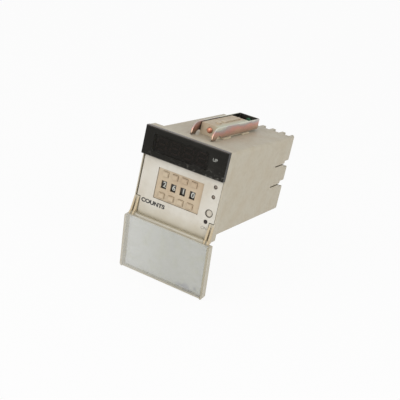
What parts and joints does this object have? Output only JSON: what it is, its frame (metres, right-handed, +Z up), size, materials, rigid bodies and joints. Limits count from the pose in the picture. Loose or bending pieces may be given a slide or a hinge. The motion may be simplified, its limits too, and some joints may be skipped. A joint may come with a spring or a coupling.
{
  "type": "preset panel counter",
  "caption": "Square panel-mounted preset counter with a dark display window, push-button digit wheels under a hinged clear cover, rear screw terminals and screw-drawn clips.",
  "frame": {"origin": "centre of the plane where the flange seats on the panel", "axes": "+X to the right seen from the front, +Y to the rear through the panel, +Z up"},
  "size_m": [0.0768, 0.1303, 0.1274],
  "materials": {
    "case_plastic": "fine moulded grain",
    "panel_plastic": "satin",
    "window_plastic": "smoked, polished and scuffed",
    "cover_plastic": "clear, yellowed",
    "switch_plastic": "satin",
    "wheel_plastic": "satin black",
    "lens_plastic": "milky lens",
    "dark_lens": "dark lens",
    "digit_resin": "cast resin",
    "board_laminate": "solder mask",
    "chip_resin": "moulded",
    "relay_plastic": "moulded",
    "core_steel": "varnished laminations",
    "coil_copper": "varnished winding",
    "terminal_plastic": "moulded",
    "terminal_brass": "nickelled brass",
    "screw_steel": "zinc plated",
    "strap_steel": "zinc and chromate plated",
    "clamp_steel": "copper coloured chromate",
    "clip_plastic": "moulded"
  },
  "bodies": {
    "counter": {"case": "case_plastic", "front_frame": "case_plastic", "front_panel": "panel_plastic", "display_window": "window_plastic", "display_digits": "digit_resin", "front_board": "board_laminate", "board_screws": "screw_steel", "switch_frame": "switch_plastic", "switch_back": "board_laminate", "wheel_axle": "screw_steel", "reset_switch": "chip_resin", "upper_lamp": "lens_plastic", "lower_lamp": "lens_plastic", "supply_lamp": "dark_lens", "main_board": "board_laminate", "logic_chips": "chip_resin", "output_relay": "relay_plastic", "power_board": "board_laminate", "transformer_core": "core_steel", "transformer_coil": "coil_copper", "capacitors": "relay_plastic", "terminal_block": "terminal_plastic", "terminal_clamps": "terminal_brass", "terminal_screws": "screw_steel", "upper_clip_block": "clip_plastic", "upper_clip_nut": "screw_steel", "lower_clip_block": "clip_plastic", "lower_clip_nut": "screw_steel"},
    "cover": {"cover": "cover_plastic"},
    "reset": {"reset_button": "panel_plastic"},
    "wheel_1": {"digit_wheel_1": "wheel_plastic"},
    "plus_1": {"plus_button_1": "switch_plastic"},
    "minus_1": {"minus_button_1": "switch_plastic"},
    "wheel_2": {"digit_wheel_2": "wheel_plastic"},
    "plus_2": {"plus_button_2": "switch_plastic"},
    "minus_2": {"minus_button_2": "switch_plastic"},
    "wheel_3": {"digit_wheel_3": "wheel_plastic"},
    "plus_3": {"plus_button_3": "switch_plastic"},
    "minus_3": {"minus_button_3": "switch_plastic"},
    "wheel_4": {"digit_wheel_4": "wheel_plastic"},
    "plus_4": {"plus_button_4": "switch_plastic"},
    "minus_4": {"minus_button_4": "switch_plastic"},
    "upper_strap": {"upper_clip_strap": "strap_steel"},
    "upper_screw": {"upper_clip_screw": "clamp_steel"},
    "lower_strap": {"lower_clip_strap": "strap_steel"},
    "lower_screw": {"lower_clip_screw": "clamp_steel"}
  },
  "joints": [
    {"name": "cover_hinge", "type": "hinge", "parent": "counter", "child": "cover", "pos_m": [0, -0.0093, -0.0355], "axis": [-1, 0, 0], "range_deg": [0, 190]},
    {"name": "reset_press", "type": "slide", "parent": "counter", "child": "reset", "axis": [0, 1, 0], "range_m": [0, 0.0008], "stiffness_N_per_m": 500},
    {"name": "wheel_1_turn", "type": "hinge", "parent": "counter", "child": "wheel_1", "pos_m": [-0.01348, 0.0041, -0.0062], "axis": [1, 0, 0], "continuous": true},
    {"name": "plus_1_press", "type": "slide", "parent": "counter", "child": "plus_1", "axis": [0, 1, 0], "range_m": [0, 0.0008], "stiffness_N_per_m": 500},
    {"name": "minus_1_press", "type": "slide", "parent": "counter", "child": "minus_1", "axis": [0, 1, 0], "range_m": [0, 0.0008], "stiffness_N_per_m": 500},
    {"name": "wheel_2_turn", "type": "hinge", "parent": "counter", "child": "wheel_2", "pos_m": [-0.00502, 0.0041, -0.0062], "axis": [1, 0, 0], "continuous": true},
    {"name": "plus_2_press", "type": "slide", "parent": "counter", "child": "plus_2", "axis": [0, 1, 0], "range_m": [0, 0.0008], "stiffness_N_per_m": 500},
    {"name": "minus_2_press", "type": "slide", "parent": "counter", "child": "minus_2", "axis": [0, 1, 0], "range_m": [0, 0.0008], "stiffness_N_per_m": 500},
    {"name": "wheel_3_turn", "type": "hinge", "parent": "counter", "child": "wheel_3", "pos_m": [0.00343, 0.0041, -0.0062], "axis": [1, 0, 0], "continuous": true},
    {"name": "plus_3_press", "type": "slide", "parent": "counter", "child": "plus_3", "axis": [0, 1, 0], "range_m": [0, 0.0008], "stiffness_N_per_m": 500},
    {"name": "minus_3_press", "type": "slide", "parent": "counter", "child": "minus_3", "axis": [0, 1, 0], "range_m": [0, 0.0008], "stiffness_N_per_m": 500},
    {"name": "wheel_4_turn", "type": "hinge", "parent": "counter", "child": "wheel_4", "pos_m": [0.01188, 0.0041, -0.0062], "axis": [1, 0, 0], "continuous": true},
    {"name": "plus_4_press", "type": "slide", "parent": "counter", "child": "plus_4", "axis": [0, 1, 0], "range_m": [0, 0.0008], "stiffness_N_per_m": 500},
    {"name": "minus_4_press", "type": "slide", "parent": "counter", "child": "minus_4", "axis": [0, 1, 0], "range_m": [0, 0.0008], "stiffness_N_per_m": 500},
    {"name": "upper_strap_slide", "type": "slide", "parent": "counter", "child": "upper_strap", "axis": [0, -1, 0], "range_m": [-0.003, 0.01]},
    {"name": "upper_screw_turn", "type": "hinge", "parent": "upper_strap", "child": "upper_screw", "pos_m": [0, 0.06, 0.03836], "axis": [0, -1, 0], "range_deg": [-1544, 5144]},
    {"name": "lower_strap_slide", "type": "slide", "parent": "counter", "child": "lower_strap", "axis": [0, -1, 0], "range_m": [-0.003, 0.01]},
    {"name": "lower_screw_turn", "type": "hinge", "parent": "lower_strap", "child": "lower_screw", "pos_m": [0, 0.06, -0.03836], "axis": [0, -1, 0], "range_deg": [-1544, 5144]}
  ],
  "couplings": [
    {"joint": "upper_screw_turn", "follows": "upper_strap_slide", "rad_per_m": 8976},
    {"joint": "lower_screw_turn", "follows": "lower_strap_slide", "rad_per_m": 8976}
  ]
}
